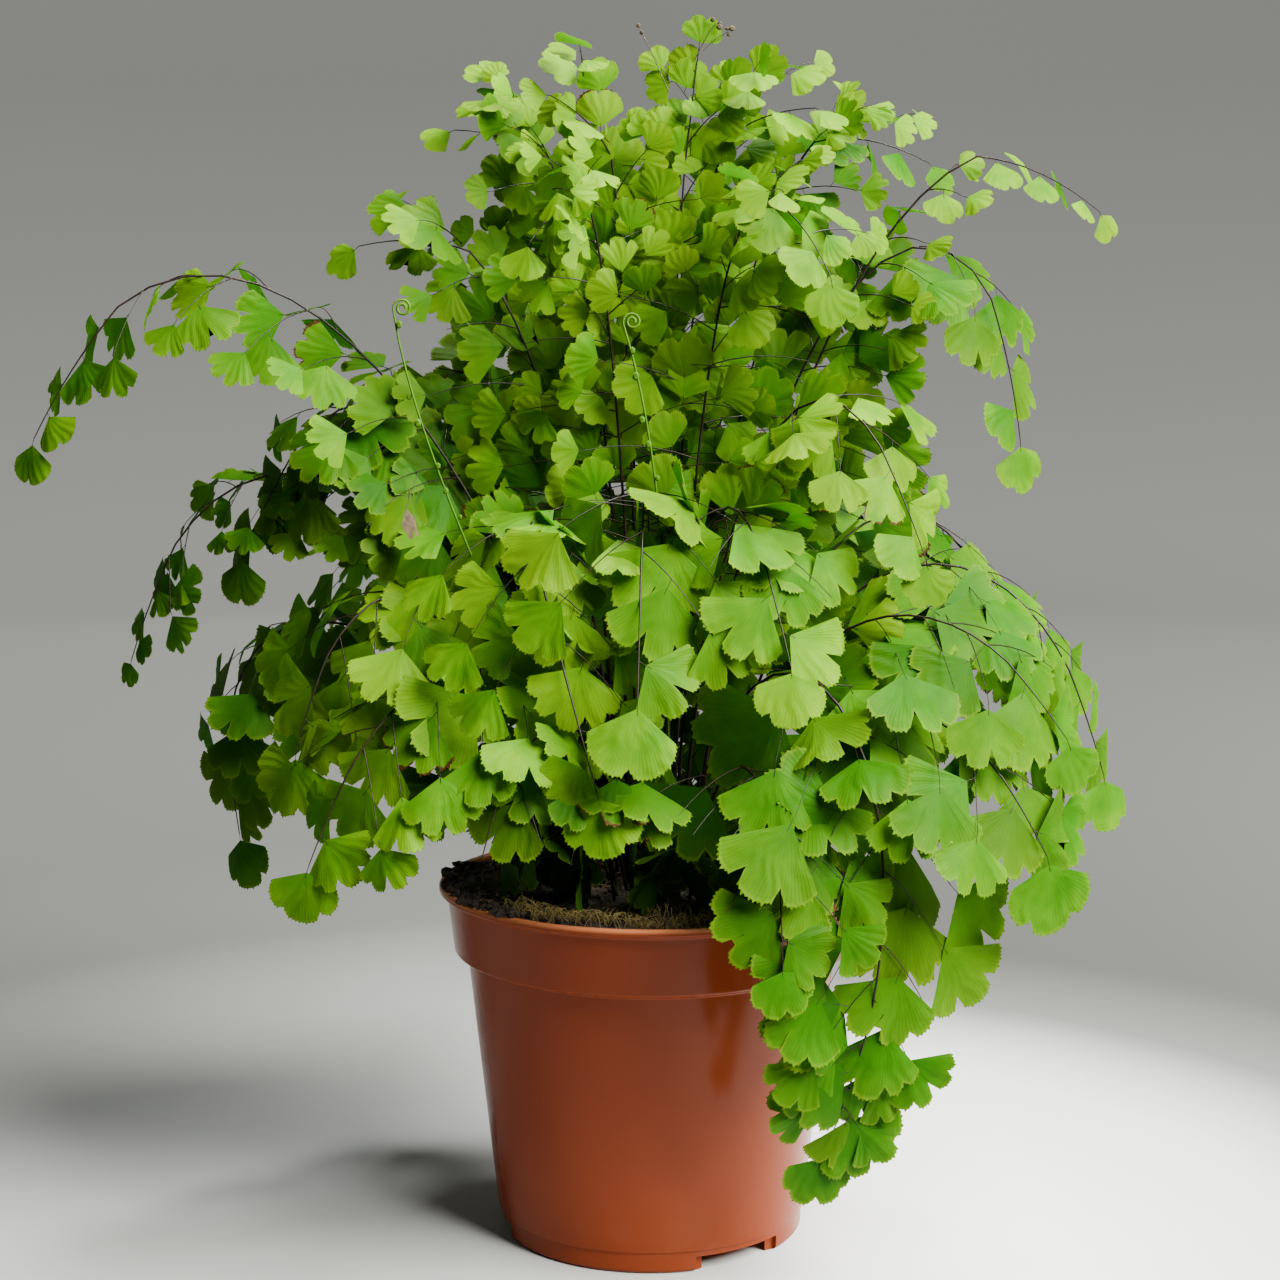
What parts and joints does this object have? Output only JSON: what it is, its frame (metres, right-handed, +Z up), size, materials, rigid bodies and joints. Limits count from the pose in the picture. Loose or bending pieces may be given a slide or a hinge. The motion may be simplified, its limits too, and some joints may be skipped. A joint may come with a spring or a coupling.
{
  "type": "potted maidenhair fern",
  "caption": "Maidenhair fern with thin arching fronds of small fan-shaped leaflets on dark wiry stems, in soil in a round tapered plastic nursery pot.",
  "frame": {"origin": "centre of the pot's underside, on the surface that the pot stands on", "axes": "+Z up, +Y away from the front that the picture shows, +X to the right as seen from that front"},
  "size_m": [0.3311, 0.2218, 0.3669],
  "materials": {
    "pot": "satin",
    "soil": "matte",
    "leaf_young": "satin",
    "leaf": "satin",
    "leaf_old": "satin",
    "stem": "satin"
  },
  "bodies": {
    "root": {"pot": "pot", "soil": "soil", "frond_long_left": "leaf", "frond_mid_left": "leaf_old", "frond_low_left": "leaf_old", "frond_front_left": "leaf", "frond_upper_left": "leaf", "frond_crown_left": "leaf_young", "frond_crown_middle": "leaf_young", "frond_tallest": "leaf_young", "frond_crown_right": "leaf_young", "frond_upper_right": "leaf", "frond_pale_right": "leaf_young", "frond_arch_right": "leaf", "frond_shoulder_right": "leaf", "frond_outer_right": "leaf", "frond_mid_right": "leaf", "frond_low_right": "leaf", "frond_hanging_front": "leaf", "frond_rim_front": "leaf", "frond_centre_front": "leaf", "frond_inner_left": "leaf", "frond_bright_left": "leaf", "frond_shade_left": "leaf_old", "frond_behind_left": "leaf_old", "frond_top_front": "leaf_young", "frond_top_right": "leaf_young", "frond_inner_right": "leaf", "frond_low_front": "leaf", "frond_back_outer_1": "leaf", "frond_back_outer_2": "leaf", "frond_back_outer_3": "leaf", "frond_back_outer_4": "leaf", "frond_back_outer_5": "leaf", "frond_back_inner_1": "leaf", "frond_back_inner_2": "leaf", "frond_back_inner_3": "leaf", "frond_low_1": "leaf_old", "frond_low_2": "leaf_old", "frond_low_3": "leaf_old", "frond_low_4": "leaf_old"}
  },
  "joints": []
}
